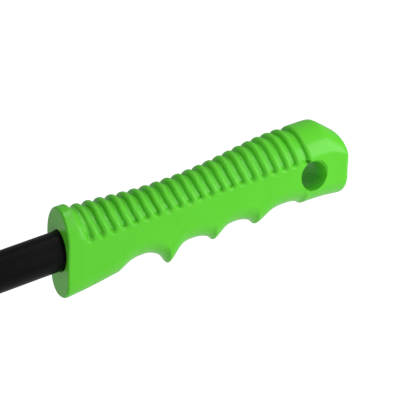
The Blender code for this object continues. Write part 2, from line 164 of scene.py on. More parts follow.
# Camera, floor and light
CAMERA_TURN = 29.03                                 # degrees to the left of the front
CAMERA_HEIGHT = 13.19                               # degrees above the level
CAMERA_DISTANCE = 0.5852
CAMERA_LENS = 105.4
CAMERA_AIM = (0.0782, 0.0, -0.0004)                 # the point it looks at, in the right grip's frame
FLOOR_SIZE = 30
FLOOR_GLOW = (0.28, 0.75)                           # on the object, and as the camera sees it
WORLD_LIGHT = 0.42                                  # the backdrop itself is seen white
LIGHT_AIM = (0.20, 0, 0.43)


# ---------------------------------------------------------------- mesh helpers

def add_piece(name, mesh, mats, replaces, matrix=None, sharp=38):
    """Puts a mesh in the scene as a finished piece that rides on the one body and replaces the named nodes."""
    for mat in mats:
        mesh.materials.append(mat)
    mesh.shade_smooth()
    mesh.set_sharp_from_angle(angle=math.radians(sharp))
    obj = bpy.data.objects.new(name, mesh)
    bpy.context.scene.collection.objects.link(obj)
    if matrix is not None:
        mesh.transform(matrix)
    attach(obj, "root")
    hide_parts(*replaces)


def grid_mesh(name, grid, wrap_rows=False, cap_start=False, cap_end=False):
    """A mesh from rows of points; each row closes on itself, and rows may close on the first one."""
    grid = np.asarray(grid, float)
    rows, cols = grid.shape[:2]
    index = np.arange(rows * cols).reshape(rows, cols)
    low = index if wrap_rows else index[:-1]
    high = np.roll(index, -1, axis=0) if wrap_rows else index[1:]
    quads = np.stack([low, np.roll(low, -1, axis=1), np.roll(high, -1, axis=1), high], axis=-1)
    faces = quads.reshape(-1, 4).tolist()
    if cap_start:
        faces.append(index[0][::-1].tolist())
    if cap_end:
        faces.append(index[-1].tolist())
    mesh = bpy.data.meshes.new(name)
    mesh.from_pydata(grid.reshape(-1, 3).tolist(), [], faces)
    bm = bmesh.new()
    bm.from_mesh(mesh)
    bmesh.ops.recalc_face_normals(bm, faces=bm.faces)
    bm.to_mesh(mesh)
    bm.free()
    return mesh


def lathe(name, profile, segments, axis="Z", closed=True):
    """A solid turned from (radius, height) points. An open profile has its two ends capped."""
    angles = np.arange(segments) * TAU / segments
    rows = []
    for r, h in profile:
        across = np.stack([r * np.cos(angles), r * np.sin(angles), np.full(segments, h)], axis=-1)
        if axis == "X":
            across = across[:, [2, 0, 1]]
        elif axis == "Y":
            across = across[:, [1, 2, 0]]
        rows.append(across)
    return grid_mesh(name, rows, wrap_rows=closed, cap_start=not closed, cap_end=not closed)


def rounded(points, radius=0.0, steps=5):
    """Rounds the corners of a (radius, height) outline; each point is (x, y) or (x, y, own radius)."""
    out = []
    count = len(points)
    for i, point in enumerate(points):
        own = point[2] if len(point) > 2 else radius
        here = np.array(point[:2], float)
        back = np.array(points[i - 1][:2], float) - here
        ahead = np.array(points[(i + 1) % count][:2], float) - here
        if own <= 0:
            out.append(tuple(here))
            continue
        reach = min(own, np.linalg.norm(back) * 0.45, np.linalg.norm(ahead) * 0.45)
        a = here + back / np.linalg.norm(back) * reach
        b = here + ahead / np.linalg.norm(ahead) * reach
        for k in range(steps + 1):
            t = k / steps
            out.append(tuple((1 - t) ** 2 * a + 2 * t * (1 - t) * here + t ** 2 * b))
    return out


def handle_frame(turn):
    """The handle frame of the right (turn 0) or left (turn pi) handle."""
    place = Matrix.Translation((BODY_R, 0, HANDLE_Z)) @ Matrix.Rotation(-HANDLE_RISE, 4, "Y")
    return Matrix.Rotation(turn, 4, "Z") @ place


def ease(t, power=1.0):
    """Goes smoothly from 0 to 1 as t does; a power above 1 starts it more gently."""
    t = np.clip(t, 0.0, 1.0) ** power
    return t * t * (3 - 2 * t)


def between(start, end, u, power=1.0):
    """Smooth value from one (u, value) point to another."""
    return start[1] + (end[1] - start[1]) * ease((u - start[0]) / (end[0] - start[0]), power)


# ---------------------------------------------------------------- materials

def new_material(name, colour, roughness, metallic=0.0, **sockets):
    """A Principled material; sockets are further constant inputs, underscores standing for spaces."""
    mat = bpy.data.materials.new(name)
    mat.use_nodes = True
    shader = mat.node_tree.nodes["Principled BSDF"]
    shader.inputs["Base Color"].default_value = (*colour, 1.0)
    shader.inputs["Roughness"].default_value = roughness
    shader.inputs["Metallic"].default_value = metallic
    for key, value in sockets.items():
        shader.inputs[key.replace("_", " ")].default_value = value
    return mat


def add_noise(mat, scale, detail=3.0, stretch=(1, 1, 1)):
    """A noise texture in the piece's own coordinates. Scale is in cycles a metre."""
    tree = mat.node_tree
    coords = tree.nodes.new("ShaderNodeTexCoord")
    mapping = tree.nodes.new("ShaderNodeMapping")
    mapping.inputs["Scale"].default_value = stretch
    noise = tree.nodes.new("ShaderNodeTexNoise")
    noise.inputs["Scale"].default_value = scale
    noise.inputs["Detail"].default_value = detail
    tree.links.new(coords.outputs["Object"], mapping.inputs["Vector"])
    tree.links.new(mapping.outputs["Vector"], noise.inputs["Vector"])
    return noise.outputs["Fac"]


def remap(mat, value, low, high, to_low, to_high):
    """Maps a value's range to another, without going past it."""
    node = mat.node_tree.nodes.new("ShaderNodeMapRange")
    node.inputs["From Min"].default_value = low
    node.inputs["From Max"].default_value = high
    node.inputs["To Min"].default_value = to_low
    node.inputs["To Max"].default_value = to_high
    mat.node_tree.links.new(value, node.inputs["Value"])
    return node.outputs["Result"]


def mix_colour(mat, factor, first, second):
    """Mixes two colours, each an RGB tuple or a socket."""
    tree = mat.node_tree
    node = tree.nodes.new("ShaderNodeMix")
    node.data_type = "RGBA"
    tree.links.new(factor, node.inputs["Factor"])
    for socket, value in ((node.inputs[6], first), (node.inputs[7], second)):
        if isinstance(value, tuple):
            socket.default_value = (*value, 1.0)
        else:
            tree.links.new(value, socket)
    return node.outputs[2]


def math_node(mat, operation, first, second):
    """A maths node; each input is a number or a socket."""
    tree = mat.node_tree
    node = tree.nodes.new("ShaderNodeMath")
    node.operation = operation
    for socket, value in ((node.inputs[0], first), (node.inputs[1], second)):
        if isinstance(value, (int, float)):
            socket.default_value = value
        else:
            tree.links.new(value, socket)
    return node.outputs[0]


def feed(mat, socket, value):
    """Links a value to one of the material's shader inputs."""
    shader = mat.node_tree.nodes["Principled BSDF"]
    mat.node_tree.links.new(value, shader.inputs[socket])


def add_bump(mat, layers):
    """Adds up (height socket, height in metres) layers and bumps the surface by them."""
    total = None
    for value, height in layers:
        part = math_node(mat, "MULTIPLY", value, height)
        total = part if total is None else math_node(mat, "ADD", total, part)
    bump = mat.node_tree.nodes.new("ShaderNodeBump")
    bump.inputs["Distance"].default_value = 1.0
    bump.inputs["Strength"].default_value = 1.0
    mat.node_tree.links.new(total, bump.inputs["Height"])
    feed(mat, "Normal", bump.outputs["Normal"])


def make_green():
    """Glossy moulded plastic, bright green, with a faint mould texture."""
    mat = new_material("green_moulded", (0.101, 0.571, 0.025), 0.26, Specular_IOR_Level=0.22)
    cloud = add_noise(mat, 60, 4)
    fine = add_noise(mat, 1400, 2)
    feed(mat, "Base Color", mix_colour(mat, remap(mat, cloud, 0.3, 0.7, 0, 1),
                                       (0.099, 0.560, 0.024), (0.104, 0.582, 0.027)))
    feed(mat, "Roughness", remap(mat, add_noise(mat, 350, 3), 0.3, 0.7, 0.21, 0.27))
    add_bump(mat, [(fine, 0.0000015), (add_noise(mat, 180, 2), 0.00002)])
    return mat


def make_powder_coat():
    """Satin black powder coat with its orange peel and a few lighter specks."""
    mat = new_material("powder_coat_fine", (0.0032, 0.0033, 0.0036), 0.36, Specular_IOR_Level=0.07)
    speck = remap(mat, add_noise(mat, 2600, 1), 0.66, 0.72, 0, 1)
    feed(mat, "Base Color", mix_colour(mat, speck, (0.0030, 0.0031, 0.0034), (0.007, 0.007, 0.008)))
    feed(mat, "Roughness", remap(mat, add_noise(mat, 700, 3), 0.3, 0.7, 0.32, 0.42))
    add_bump(mat, [(add_noise(mat, 900, 2), 0.00003), (add_noise(mat, 120, 2), 0.00006)])
    return mat


def make_steel():
    """Bare drawn steel, with streaks along the length."""
    mat = new_material("mill_steel", (0.30, 0.29, 0.28), 0.42, 1.0)
    streak = add_noise(mat, 220, 4, (1, 1, 0.08))
    feed(mat, "Base Color", mix_colour(mat, streak, (0.22, 0.205, 0.19), (0.40, 0.39, 0.38)))
    feed(mat, "Roughness", remap(mat, streak, 0.3, 0.7, 0.34, 0.56))
    add_bump(mat, [(streak, 0.00004)])
    return mat


def make_zinc():
    """Bright zinc plating, slightly bluish, with a passivated bloom."""
    mat = new_material("zinc_plated", (0.62, 0.63, 0.65), 0.30, 1.0)
    bloom = add_noise(mat, 260, 4)
    feed(mat, "Base Color", mix_colour(mat, remap(mat, bloom, 0.35, 0.65, 0, 1),
                                       (0.55, 0.57, 0.60), (0.70, 0.69, 0.66)))
    feed(mat, "Roughness", remap(mat, bloom, 0.3, 0.7, 0.22, 0.38))
    add_bump(mat, [(add_noise(mat, 1500, 2), 0.000012)])
    return mat


def make_plastic(name, colour, roughness):
    """A plain moulded plastic with a fine grain."""
    mat = new_material(name, colour, roughness)
    fine = add_noise(mat, 1200, 3)
    feed(mat, "Roughness", remap(mat, fine, 0.3, 0.7, roughness - 0.06, roughness + 0.08))
    add_bump(mat, [(fine, 0.00002)])
    return mat


GREEN = make_green()
COAT = make_powder_coat()
STEEL = make_steel()
ZINC = make_zinc()
BLACK_PLASTIC = make_plastic("black_plug_plastic", (0.012, 0.012, 0.012), 0.5)
NYLON = make_plastic("nylon_insert", (0.62, 0.66, 0.70), 0.45)


# ---------------------------------------------------------------- grip

def crest_line(u):
    """Height of the rib crests above the axis."""
    rise = np.where(u < CREST_WAIST[0], between(CREST_SHOULDER, CREST_WAIST, u),
                    between(CREST_WAIST, CREST_TAIL, u, SWELL_EASE))
    past = u - TAIL_SLOPE_START
    return rise - TAIL_SLOPE * 0.5 * (past + np.hypot(past, TAIL_SLOPE_BLEND))


def underside(at):
    """Depth of the grip below the axis: a straight heel, four finger hollows and a tail.

    Each hollow falls away gently behind one finger tip and climbs in an arc to the next.
    """
    step = 0.0001
    u = np.arange(-0.002, GRIP_LENGTH + 0.002, step)
    depth = HEEL_DEPTH + (TIPS[0][1] - HEEL_DEPTH) * u / TIPS[0][0]
    for tip, hollow, next_tip in zip(TIPS, HOLLOWS, TIPS[1:]):
        depth = np.where(u > tip[0], between(hollow, tip, u, HOLLOW_EASE), depth)
        t = np.clip((u - hollow[0]) / (next_tip[0] - hollow[0]), 0, 1)
        climb = 1 - (1 - t ** HOLLOW_ARC) ** (1 / HOLLOW_ARC)
        depth = np.where(u > hollow[0], hollow[1] + (next_tip[1] - hollow[1]) * climb, depth)
    rest = np.clip((u - TIPS[-1][0]) / (GRIP_LENGTH - TIPS[-1][0]), 0, 1)
    depth = np.where(u > TIPS[-1][0], TIPS[-1][1] + (TAIL_DEPTH - TIPS[-1][1]) * rest ** 2, depth)
    reach = np.arange(-12, 13) * step
    weights = np.exp(-0.5 * (reach / NOSE_BLUR) ** 2)
    padded = np.pad(depth, 12, mode="edge")
    return np.interp(at, u, np.convolve(padded, weights / weights.sum(), "valid"))


def half_width(u):
    """Half of the grip's width at the shoulder: narrowest under the palm, widest at the tail."""
    return np.where(u < WAIST_END, between(MOUTH_WIDTH, WAIST_WIDTH, u),
                    between((WAIST_END, WAIST_WIDTH[1]), TAIL_WIDTH, u))


def tail_share(u):
    """0 up to the tail, 1 at the grip's end."""
    return np.clip((u - TAIL_START) / (GRIP_LENGTH - TAIL_START), 0, 1)


def grip_section(u, inset):
    """Rings (n, w) of the smooth grip at each u: half round over the top, flat sides, round bottom."""
    flare = (1 - ease((u - FLANGE_LENGTH) / (FLANGE_BLEND - FLANGE_LENGTH)))[:, None]
    u = u[:, None]
    inset = inset[:, None]
    crest = crest_line(u) + FLANGE_RISE * flare - inset
    half = half_width(u) + FLANGE_SPREAD * flare - inset
    depth = underside(u) - inset
    slim = np.where(u < WAIST_END, between((MOUTH_WIDTH[0], 0), (WAIST_WIDTH[0], 1), u),
                    between((WAIST_END, 1), (TAIL_WIDTH[0], 0), u))
    power = 2 / (2 + (WAIST_POWER - 2) * slim)
    shoulder = SHOULDER + (TAIL_SHOULDER - SHOULDER) * tail_share(u) ** 2
    a = np.linspace(0, np.pi, 81)[None, :]
    top_n = half * np.sign(np.cos(a)) * np.abs(np.cos(a)) ** power
    top_w = shoulder + (crest - shoulder) * np.abs(np.sin(a)) ** power
    knee = -(depth - BOTTOM_R)
    foot = half - SIDE_TAPER * (SHOULDER - knee)
    t = np.linspace(0, 1, 17)[None, 1:-1]
    side_n = half + (foot - half) * t
    side_w = shoulder + (knee - shoulder) * t
    b = np.linspace(0, np.pi, 61)[None, :]
    power = 2 / between((0.004, MOUTH_BOTTOM_POWER), (0.030, BOTTOM_POWER), u)
    low_n = -foot * np.sign(np.cos(b)) * np.abs(np.cos(b)) ** power
    low_w = knee - BOTTOM_R * np.sin(b) ** power
    n = np.concatenate([top_n, -side_n, low_n, side_n[:, ::-1]], axis=1)
    w = np.concatenate([top_w, side_w, low_w, side_w[:, ::-1]], axis=1)
    return n, w


def groove_depth(u, n, w):
    """How deep the grooves are at each point of the rings."""
    step = np.hypot(np.diff(n, axis=1), np.diff(w, axis=1))
    length = np.concatenate([np.zeros((len(n), 1)), np.cumsum(step, axis=1)], axis=1)
    top = 80                                        # index of the last point of the half round
    up = (SHOULDER - GROOVE_END) + np.minimum(length, length[:, top:top + 1] - length)
    up = np.where(w < SHOULDER, w - GROOVE_END, up)
    over = ease(up / 0.012)                         # 0 at a groove's end, 1 over the top
    u = u[:, None]
    depth = np.zeros_like(n)
    for k in range(GROOVES):
        centre = FIRST_GROOVE + k * RIB_PITCH
        off = np.abs(u - centre)
        full = GROOVE_DEPTH
        if k == 0:                                  # the first groove is a soft ramp off the flange
            wide = GROOVE_EDGE + FIRST_GROOVE_RAMP[0] + FIRST_GROOVE_RAMP[1] * over
            off = np.where(u < centre, off * GROOVE_EDGE / wide, off)
            full = GROOVE_DEPTH * (1 - FIRST_GROOVE_SHALLOW * over)
        if k == GROOVES - 1:                        # the last one is wider
            off = np.where(u > centre, np.maximum(0, off - LAST_GROOVE_EXTRA), off)
        past_end = np.maximum(0, GROOVE_ROUND - up) * GROOVE_EDGE / GROOVE_ROUND
        climb = np.clip((GROOVE_EDGE - np.hypot(off, past_end)) / (GROOVE_EDGE - GROOVE_FLOOR), 0, 1)
        depth = np.maximum(depth, full * (1 - np.sqrt(1 - climb ** 2)))
    return depth


def rib_shift(u, w):
    """How far along the grip the ribs are moved at each point of the smooth section: they lean towards the
    mouth, and bow that way between the side and the top."""
    plain = ease((u - FLANGE_LENGTH) / (FIRST_GROOVE - FLANGE_LENGTH)) * ease((0.148 - u) / 0.012)
    lean = RIB_LEAN * np.maximum(0, w - RIB_FOOT)
    share = (w - SHOULDER) / (crest_line(u) - SHOULDER)
    bow = (0.3 + 0.7 * ease(share / 0.5)) * (1 - ease((share - 0.55) / 0.45)) * ease((w - 0.001) / 0.002)
    size = RIB_BOW * ease((u - 0.010) / 0.012) * (1 - 0.5 * ease((u - 0.105) / 0.02))
    return plain * (lean - size * bow)


def make_grip_mesh(name):
    """The whole grip as one closed skin: bore, mouth face, flange, ribbed and grooved body, tail."""
    lip = np.radians(np.linspace(0, 90, 9))
    start = FLANGE_FILLET * (1 - np.sin(lip[::-1]))
    middle = np.linspace(FLANGE_FILLET, GRIP_LENGTH - END_FILLET, 560)[1:-1]
    turn = np.radians(np.linspace(0, 90, 13))
    end = GRIP_LENGTH - END_FILLET + END_FILLET * np.sin(turn)
    u = np.concatenate([start, middle, end])
    inset = np.concatenate([FLANGE_FILLET * (1 - np.cos(lip[::-1])), np.zeros(len(middle)),
                            END_FILLET * (1 - np.cos(turn))])
    n, w = grip_section(u, inset)
    tangent_n = np.roll(n, -1, axis=1) - np.roll(n, 1, axis=1)
    tangent_w = np.roll(w, -1, axis=1) - np.roll(w, 1, axis=1)
    size = np.hypot(tangent_n, tangent_w)
    depth = groove_depth(u, n, w)
    shift = rib_shift(u[:, None], w)
    n = n - depth * tangent_w / size
    w = w + depth * tangent_n / size
    slant = (MOUTH_SLANT * np.maximum(0, 1 - u / FLANGE_BLEND) + TAIL_SLANT * tail_share(u))[:, None]
    grid = np.stack([u[:, None] + slant * w + shift, n, w], axis=-1)

    # mouth face and bore, matched to the outer ring by angle
    outer = grid[0]
    angle = np.arctan2(outer[:, 2], outer[:, 1])
    circle = np.stack([BORE_R * np.cos(angle), BORE_R * np.sin(angle)], axis=-1)
    face = []
    for t in (0.0, 0.03, 0.5, 0.97):
        ring = outer.copy()
        rim = BORE_R + 0.0004
        ring[:, 1:] = circle / BORE_R * rim * (1 - t) + outer[:, 1:] * t
        ring[:, 0] = MOUTH_SLANT * ring[:, 2]
        face.append(ring)
    bore = []
    for depth_in in (BORE_DEPTH, 0.06, 0.012, 0.0004):
        ring = np.empty_like(outer)
        ring[:, 1:] = circle
        ring[:, 0] = depth_in + (MOUTH_SLANT * circle[:, 1] if depth_in < 0.001 else 0)
        bore.append(ring)
    tail = []
    for t in (0.97, 0.7, 0.4, 0.12):
        ring = grid[-1].copy()
        centre = ring[:, 1:].mean(axis=0)
        ring[:, 1:] = centre + (ring[:, 1:] - centre) * t
        tail.append(ring)
    grid = np.concatenate([np.array(bore), np.array(face), grid, np.array(tail)])
    return grid_mesh(name, grid, cap_start=True, cap_end=True)


def apply_cuts(mesh, cutters):
    """Cuts the cutter meshes out of the mesh and returns the result."""
    obj = bpy.data.objects.new("cutting", mesh)
    bpy.context.scene.collection.objects.link(obj)
    helpers = []
    for cutter in cutters:
        helper = bpy.data.objects.new("cutter", cutter)
        bpy.context.scene.collection.objects.link(helper)
        mod = obj.modifiers.new("cut", "BOOLEAN")
        mod.operation = "DIFFERENCE"
        mod.solver = "EXACT"
        mod.object = helper
        helpers.append(helper)
    graph = bpy.context.evaluated_depsgraph_get()
    result = bpy.data.meshes.new_from_object(obj.evaluated_get(graph))
    result.materials.clear()
    for used in [obj, *helpers]:
        bpy.data.objects.remove(used)
    return result


def hang_cutter():
    """A pin through the grip that flares at both faces, so that the hole's rims come out rounded."""
    face = TAIL_WIDTH[1] - SIDE_TAPER * (SHOULDER - HANG_W)
    steps = np.radians(np.linspace(0, 90, 6))
    flare = [(HANG_R + HANG_FILLET * (1 - math.cos(s)), face - HANG_FILLET + HANG_FILLET * math.sin(s))
             for s in steps]
    outer = flare + [(flare[-1][0] + 0.0006, face + 0.002)]
    profile = [(r, -y) for r, y in outer[::-1]] + outer
    mesh = lathe("hang_cutter", profile, 96, "Y", closed=False)
    mesh.transform(Matrix.Translation((HANG_U, 0, HANG_W)))
    return mesh


def vent_cutter():
    """A short pin that nicks the hang hole's rim on the face away from n."""
    profile = [(VENT_R, y) for y in (-0.020, -0.015, -0.010, -VENT_FLOOR)]
    mesh = lathe("vent_cutter", profile, 32, "Y", closed=False)
    mesh.transform(Matrix.Translation((HANG_U + VENT[0], 0, HANG_W + VENT[1])))
    return mesh


def build_grips():
    for tag, turn in SIDES.items():
        mesh = apply_cuts(make_grip_mesh("grip"), [hang_cutter(), vent_cutter()])
        place = handle_frame(turn) @ Matrix.Translation((GRIP_START, 0, 0))
        add_piece("moulded_grip_" + tag, mesh, [GREEN], ["grip_" + tag], place, 50)


# ---------------------------------------------------------------- body

def build_body():
    """The body tube with its bare bore, the cap and the steel billet under it."""
    r_in = BODY_R - BODY_WALL
    in_low, out_low, top = BODY_EDGES
    profile = rounded([(r_in, 0, in_low), (BODY_R, 0, out_low), (BODY_R, BODY_LENGTH, top),
                       (r_in, BODY_LENGTH, top)])
    mesh = lathe("driver_tube", profile, 160)
    for face in mesh.polygons:
        face.material_index = int(math.hypot(face.center.x, face.center.y) < r_in + 0.0002)
    add_piece("driver_tube", mesh, [COAT, STEEL], ["body_tube"])
    low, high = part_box("strike_plug")
    r = high.x
    # the lathe left a small centre hole in its lower face
    billet = rounded([(MIDDLE, low.z + 0.0015, 0), (0.0012, low.z + 0.0009, 0), (0.0022, low.z, 0),
                      (r, low.z, BILLET_EDGE), (r, high.z, BILLET_EDGE), (MIDDLE, high.z, 0)], steps=6)
    add_piece("billet", lathe("billet", billet, 128, closed=False), [STEEL], ["strike_plug"])
    low, high = CAP_LOW.z, CAP_HIGH.z
    cap = rounded([(MIDDLE, low, 0), (CAP_R, low, CAP_EDGES[0]), (CAP_R, high, CAP_EDGES[1]), (MIDDLE, high, 0)],
                  steps=7)
    add_piece("cap_plate", lathe("cap_plate", cap, 160, closed=False), [COAT], ["top_cap"])


def fillet_bead(name, corner, along_a, along_b, leg, ripple=0.0022, closed=True):
    """A rippled weld bead in a corner. corner, along_a and along_b are arrays of points and unit directions
    on the two faces that it joins."""
    corner = np.asarray(corner, float)
    along_a = np.asarray(along_a, float)
    along_b = np.asarray(along_b, float)
    steps = np.linalg.norm(np.diff(corner, axis=0, append=corner[:1] if closed else corner[-1:]), axis=1)
    travelled = np.concatenate([[0], np.cumsum(steps)[:-1]])
    total = steps.sum()
    phase = travelled / total * max(3, round(total / ripple))
    taper = np.ones(len(corner))
    if not closed:
        ends = np.minimum(travelled, total - travelled)
        taper = np.sqrt(np.clip(ends / leg, 0.04, 1))
    rows = []
    v = np.linspace(0, 1, 13)
    swing = np.radians(90) * v
    flat = 1 / (np.cos(swing) + np.sin(swing))
    for i in range(len(corner)):
        dime = np.abs(np.sin(np.pi * (phase[i] - 0.45 * np.sin(np.pi * v))))
        reach = leg * taper[i] * (0.45 * flat + 0.55) * (1 - RIPPLE_DEPTH + RIPPLE_DEPTH * dime)
        face = (corner[i] + np.outer(reach * np.cos(swing), along_a[i])
                + np.outer(reach * np.sin(swing), along_b[i]))
        rows.append(np.vstack([face, corner[i][None]]))
    return grid_mesh(name, rows, wrap_rows=closed, cap_start=not closed, cap_end=not closed)


def build_cap_weld():
    """The bead under the cap's rim."""
    count = 960
    angle = np.arange(count) * TAU / count
    out = np.stack([np.cos(angle), np.sin(angle), np.zeros(count)], axis=-1)
    corner = out * BODY_R + np.array([0, 0, BODY_LENGTH])
    down = np.tile([0.0, 0.0, -1.0], (count, 1))
    mesh = fillet_bead("cap_bead", corner, out, down, CAP_BEAD)
    add_piece("cap_bead", mesh, [COAT], ["cap_weld"], sharp=60)


def build_plug_welds():
    """Four rosette welds: low domes with a spiral ripple."""
    angles = np.arange(40) * TAU / 40
    for k in range(4):
        rows = []
        for share in np.linspace(0.02, 1, 16):
            r = ROSETTE_R * share
            wave = 0.00008 * np.abs(np.sin(np.pi * (share * 3.5 + angles / TAU)))
            h = ROSETTE_RISE * math.sqrt(max(0, 1 - share ** 3)) + wave * (1 - share)
            rows.append(np.stack([BODY_R - 0.0002 + h, r * np.cos(angles), r * np.sin(angles)], axis=-1))
        base = rows[-1].copy()
        base[:, 0] = BODY_R - ROSETTE_ROOT
        rows.append(base)
        mesh = grid_mesh("plug_bead", rows, cap_start=True, cap_end=True)
        spin = Matrix.Rotation(math.pi / 4 + k * math.pi / 2, 4, "Z")
        low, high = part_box(f"plug_weld_{k + 1}")
        place = Matrix.Translation((0, 0, (low.z + high.z) / 2)) @ spin
        add_piece(f"rosette_{k + 1}", mesh, [COAT], [f"plug_weld_{k + 1}"], place, 60)


# ---------------------------------------------------------------- handles

def root_curve(count):
    """Where the socket meets the body, in the handle frame, with the two surfaces' directions there."""
    angle = np.arange(count) * TAU / count
    n = SOCKET_R * np.cos(angle)
    w = SOCKET_R * np.sin(angle)
    x = np.sqrt(BODY_R ** 2 - n ** 2)
    u = (x - BODY_R + w * math.sin(HANDLE_RISE)) / math.cos(HANDLE_RISE)
    corner = np.stack([u, n, w], axis=-1)
    along_socket = np.tile([1.0, 0.0, 0.0], (count, 1))
    # the body's outward normal in the handle frame, then the direction away from the socket on its surface
    normal = np.stack([x / BODY_R * math.cos(HANDLE_RISE), n / BODY_R,
                       -x / BODY_R * math.sin(HANDLE_RISE)], axis=-1)
    radial = np.stack([np.zeros(count), np.cos(angle), np.sin(angle)], axis=-1)
    away = radial - normal * np.sum(radial * normal, axis=1, keepdims=True)
    away /= np.linalg.norm(away, axis=1, keepdims=True)
    return corner, along_socket, away


def bolt_hole():
    """A cutter for the hole that the bolt passes through."""
    r = BOLT_R + GAP
    mesh = lathe("hole", [(r, -0.02), (r, -0.01), (r, 0.01), (r, 0.02)], 48, "Y", closed=False)
    mesh.transform(Matrix.Translation((BOLT_U, 0, 0)))
    return mesh


def build_sockets():
    """The sockets on the body, with their root welds."""
    bore = HANDLE_R + GAP
    profile = rounded([(bore, SOCKET_ROOT, 0), (SOCKET_R, SOCKET_ROOT, 0), (SOCKET_R, SOCKET_LENGTH, 0.0012),
                       (bore, SOCKET_LENGTH, 0.0006)])
    for tag, turn in SIDES.items():
        place = handle_frame(turn)
        mesh = apply_cuts(lathe("socket", profile, 96, "X"), [bolt_hole()])
        add_piece("socket_" + tag, mesh, [COAT], ["handle_socket_" + tag], place)
        corner, along_socket, away = root_curve(420)
        mesh = fillet_bead("root_bead", corner, along_socket, away, SOCKET_BEAD, 0.0021)
        add_piece("root_bead_" + tag, mesh, [COAT], ["socket_weld_" + tag], place, 60)


def build_handle_tubes():
    inner = HANDLE_R - HANDLE_WALL
    end = GRIP_START + BORE_DEPTH - 0.0026          # the end plug's rim closes the rest of the grip's bore
    profile = rounded([(inner, HANDLE_ROOT), (HANDLE_R, HANDLE_ROOT), (HANDLE_R, end), (inner, end)], 0.0005)
    for tag, turn in SIDES.items():
        mesh = apply_cuts(lathe("tube", profile, 128, "X"), [bolt_hole()])
        add_piece("tube_" + tag, mesh, [COAT], ["handle_tube_" + tag], handle_frame(turn))


def prism(name, outline, half, bevel):
    """A plate from its (x, z) outline, half thick each way along Y, with all its edges rounded. The outline
    runs anticlockwise as seen from the front."""
    count = len(outline)
    points = [(x, y, z) for y in (-half, half) for x, z in outline]
    faces = [list(range(count)), list(range(2 * count - 1, count - 1, -1))]
    faces += [[k, k + count, (k + 1) % count + count, (k + 1) % count] for k in range(count)]
    mesh = bpy.data.meshes.new(name)
    mesh.from_pydata(points, [], faces)
    bm = bmesh.new()
    bm.from_mesh(mesh)
    bmesh.ops.bevel(bm, geom=list(bm.edges), offset=bevel, segments=3, profile=0.5, affect="EDGES")
    bm.to_mesh(mesh)
    bm.free()
    return mesh


def gusset_outline(under):
    """The gusset's corners, (x, z); under is the height of the socket's underside at the body."""
    lean = math.tan(HANDLE_RISE)
    x0 = BODY_R + GAP
    tip = under + GUSSET_REACH * lean
    return [(x0, under - GUSSET_SNIP), (x0, under - GUSSET_DROP), (x0 + GUSSET_FOOT, under - GUSSET_DROP),
            (x0 + GUSSET_REACH, tip - GUSSET_NOSE), (x0 + GUSSET_REACH, tip),
            (x0 + GUSSET_SNIP, under + GUSSET_SNIP * lean)]


def straight_bead(name, corner, along_a, along_b):
    """A bead along a straight corner, with the same two directions all along."""
    count = len(corner)
    return fillet_bead(name, corner, np.tile(along_a, (count, 1)), np.tile(along_b, (count, 1)), GUSSET_BEAD,
                       GUSSET_RIPPLE, closed=False)


def build_gussets():
    """The plates under the sockets, each with a bead to the body and one to the socket on both faces."""
    under = HANDLE_Z - (SOCKET_R + GAP) / math.cos(HANDLE_RISE)
    root = (GUSSET_SNIP - SOCKET_R * math.sin(HANDLE_RISE)) / math.cos(HANDLE_RISE) + 0.003
    tip = (GUSSET_REACH - SOCKET_R * math.sin(HANDLE_RISE)) / math.cos(HANDLE_RISE) - 0.002
    z = np.linspace(under - GUSSET_SNIP - 0.001, under - GUSSET_DROP + 0.002, 150)
    u = np.linspace(root, tip, 90)
    for tag, turn in SIDES.items():
        spin = Matrix.Rotation(turn, 4, "Z")
        mesh = prism("gusset", gusset_outline(under), GUSSET_THICK / 2, 0.0006)
        add_piece("gusset_" + tag, mesh, [COAT], ["socket_gusset_" + tag], spin, 30)
        for face in (-1, 1):
            where = "front" if (face < 0) == (tag == "right") else "back"
            n = face * GUSSET_THICK / 2
            corner = np.stack([np.full(150, math.sqrt(BODY_R ** 2 - n ** 2)), np.full(150, n), z], axis=-1)
            mesh = straight_bead("body_bead", corner, [1.0, 0.0, 0.0], [-0.11, face * 0.994, 0.0])
            add_piece(f"gusset_bead_{tag}_{where}_body", mesh, [COAT],
                      [f"gusset_weld_{tag}_{where}_body"], spin, 60)
            corner = np.stack([u, np.full(90, n), np.full(90, -math.sqrt(SOCKET_R ** 2 - n ** 2))], axis=-1)
            mesh = straight_bead("socket_bead", corner, [0.0, 0.0, -1.0], [0.0, face * 0.95, 0.31])
            add_piece(f"gusset_bead_{tag}_{where}_socket", mesh, [COAT],
                      [f"gusset_weld_{tag}_{where}_socket"], handle_frame(turn), 60)


# ---------------------------------------------------------------- bolts

def ring_y(radius, y):
    """A ring round the Y axis; radius and y are numbers or one value a point."""
    angle = np.arange(TURN_STEPS) * TAU / TURN_STEPS
    radius = np.broadcast_to(radius, TURN_STEPS)
    return np.stack([radius * np.sin(angle), np.broadcast_to(y, TURN_STEPS), radius * np.cos(angle)], axis=-1)


def hexagon():
    """Distance of a hexagon's edge from its middle, round the ring."""
    angle = np.arange(TURN_STEPS) * TAU / TURN_STEPS
    return HEX_FLAT / np.cos((angle % (TAU / 6)) - TAU / 12)


def chamfered(y, out):
    """A hexagon's end at y, facing +Y if out is 1. Outside the flats its corners turn down by 30 degrees."""
    edge = hexagon()
    fall = (edge - HEX_FLAT * 0.97) * math.tan(math.radians(30))
    return [ring_y(edge, y - out * fall), ring_y(HEX_FLAT * 0.97, y)]


